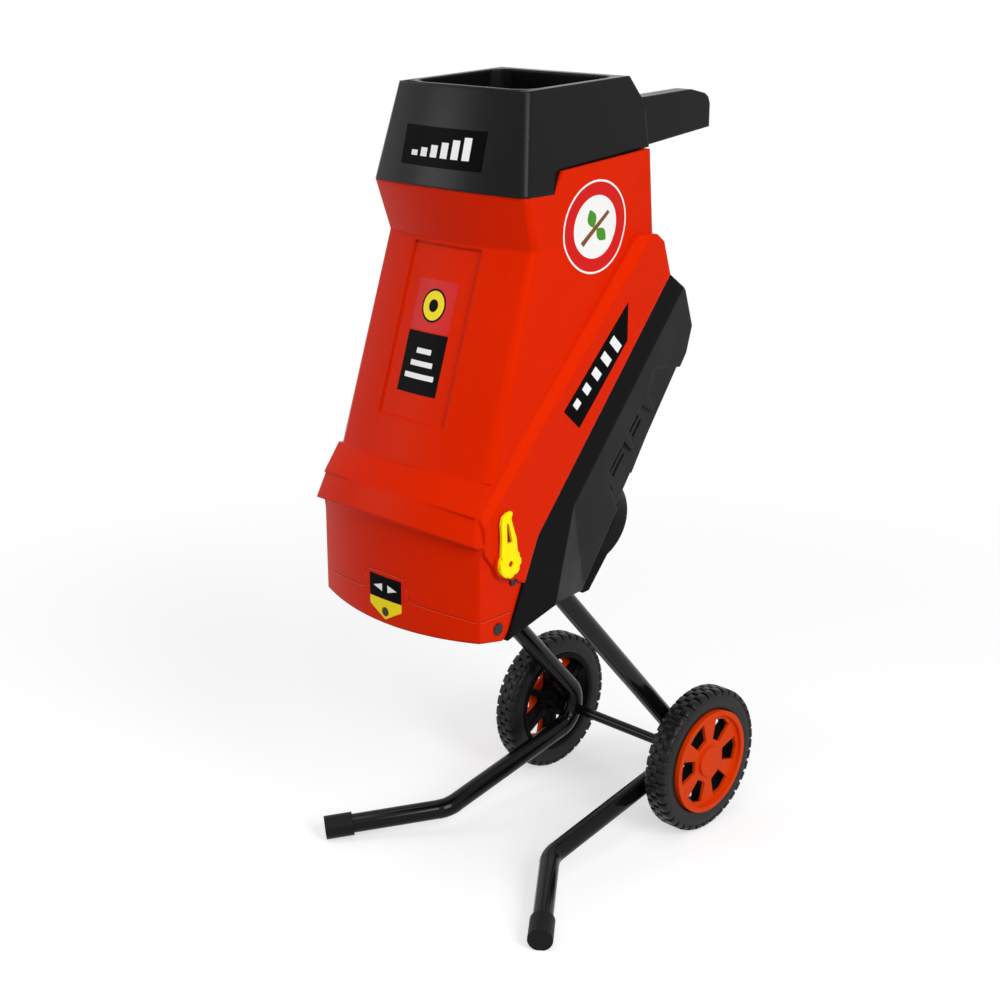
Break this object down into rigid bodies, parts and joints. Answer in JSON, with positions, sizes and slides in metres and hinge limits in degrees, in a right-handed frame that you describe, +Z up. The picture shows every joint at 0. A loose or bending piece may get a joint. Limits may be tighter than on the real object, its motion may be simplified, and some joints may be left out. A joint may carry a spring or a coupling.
{
  "type": "garden shredder",
  "caption": "Electric garden shredder with a red tilting feed hopper, black motor housing and a two-wheeled stand of bent tube",
  "frame": {"origin": "on the floor under the middle of the machine", "axes": "+Z up, -Y to the front where the apron is, +X to the side with the yellow lever"},
  "size_m": [0.3572, 0.4674, 0.8555],
  "materials": {
    "red_shell": "orange-red moulded plastic with a soft sheen",
    "black_plastic": "fine-grained black moulded plastic",
    "black_gloss": "smooth black moulded plastic",
    "yellow_plastic": "smooth yellow moulded plastic",
    "green_plastic": "smooth green button",
    "red_button": "smooth red button",
    "white_plastic": "plain white moulded plastic",
    "brown_resin": "brown resin moulding",
    "copper_wire": "enamelled copper wire",
    "rubber": "soft black rubber",
    "tyre_rubber": "hard black tyre with moulded lugs",
    "tube_paint": "glossy black paint on steel tube",
    "steel": "bare machined steel",
    "dark_steel": "blackened steel screws",
    "cast_alloy": "die-cast aluminium",
    "lamination": "stacked steel sheets",
    "brass": "machined brass",
    "carbon": "pressed carbon"
  },
  "bodies": {
    "base": {"motor_housing": "black_plastic", "chamber_floor": "cast_alloy", "floor_screws": "steel", "gear_case": "cast_alloy", "gear_cover": "cast_alloy", "spindle_bearings": "steel", "motor_bearings": "steel", "stator_core": "lamination", "field_coils": "copper_wire", "end_shield": "cast_alloy", "motor_bolts": "steel", "brush_holders": "brown_resin", "carbon_brushes": "carbon", "motor_cover": "black_plastic", "cover_screws": "dark_steel", "switch_box": "black_plastic", "switch_unit": "white_plastic", "power_inlet": "black_gloss", "inlet_pins": "steel", "safety_switch": "red_button", "hinge_screws": "dark_steel", "left_leg": "tube_paint", "right_leg": "tube_paint", "leg_bolts": "steel", "foot_caps": "rubber", "axle": "tube_paint", "axle_sleeves": "black_plastic", "axle_clips": "steel"},
    "hopper": {"hopper_shell": "red_shell", "hopper_collar": "black_plastic", "counter_knife": "steel", "counter_screws": "dark_steel", "discharge_liner": "black_plastic", "case_screws": "dark_steel", "lock_insert": "brass", "safety_tongue": "yellow_plastic"},
    "lever": {"side_lever": "yellow_plastic"},
    "rotor": {"spindle": "steel", "knife_disc": "steel", "knives": "steel", "knife_screws": "dark_steel", "disc_washer": "steel", "disc_nut": "steel", "driven_gear": "steel"},
    "armature": {"armature_shaft": "steel", "armature_core": "lamination", "armature_windings": "copper_wire", "commutator": "brass", "cooling_fan": "white_plastic"},
    "left_wheel": {"left_tyre": "tyre_rubber", "left_rim": "black_plastic", "left_hub_cap": "red_shell"},
    "right_wheel": {"right_tyre": "tyre_rubber", "right_rim": "black_plastic", "right_hub_cap": "red_shell"},
    "on_button": {"on_button": "green_plastic"},
    "off_button": {"off_button": "red_button"},
    "reset_button": {"reset_button": "black_gloss"},
    "lock_knob": {"lock_knob": "black_gloss", "lock_bolt": "steel"}
  },
  "joints": [
    {"name": "hopper_tilt", "type": "hinge", "parent": "base", "child": "hopper", "pos_m": [0, -0.18033, 0.34], "axis": [1, 0, 0], "range_deg": [0, 75]},
    {"name": "lever_turn", "type": "hinge", "parent": "hopper", "child": "lever", "pos_m": [0.1214, -0.17333, 0.409], "axis": [1, 0, 0], "range_deg": [0, 90]},
    {"name": "disc_spin", "type": "hinge", "parent": "base", "child": "rotor", "pos_m": [0, -0.0541, 0.51169], "axis": [0, -0.766, 0.6428], "continuous": true},
    {"name": "armature_spin", "type": "hinge", "parent": "base", "child": "armature", "pos_m": [0, -0.07821, 0.48296], "axis": [0, -0.766, 0.6428], "continuous": true},
    {"name": "left_wheel_spin", "type": "hinge", "parent": "base", "child": "left_wheel", "pos_m": [-0.115, 0.14867, 0.085], "axis": [1, 0, 0], "continuous": true},
    {"name": "right_wheel_spin", "type": "hinge", "parent": "base", "child": "right_wheel", "pos_m": [0.115, 0.14867, 0.085], "axis": [1, 0, 0], "continuous": true},
    {"name": "on_press", "type": "slide", "parent": "base", "child": "on_button", "axis": [0, -0.5443, -0.8389], "range_m": [0, 0.003], "stiffness_N_per_m": 300},
    {"name": "off_press", "type": "slide", "parent": "base", "child": "off_button", "axis": [0, -0.5443, -0.8389], "range_m": [0, 0.003], "stiffness_N_per_m": 300},
    {"name": "reset_press", "type": "slide", "parent": "base", "child": "reset_button", "axis": [0, -0.5443, -0.8389], "range_m": [0, 0.003], "stiffness_N_per_m": 300},
    {"name": "lock_turn", "type": "hinge", "parent": "base", "child": "lock_knob", "pos_m": [0, 0.08249, 0.58113], "axis": [0, -0.766, 0.6428], "continuous": true}
  ],
  "couplings": [
    {"joint": "armature_spin", "follows": "disc_spin", "ratio": -4}
  ]
}
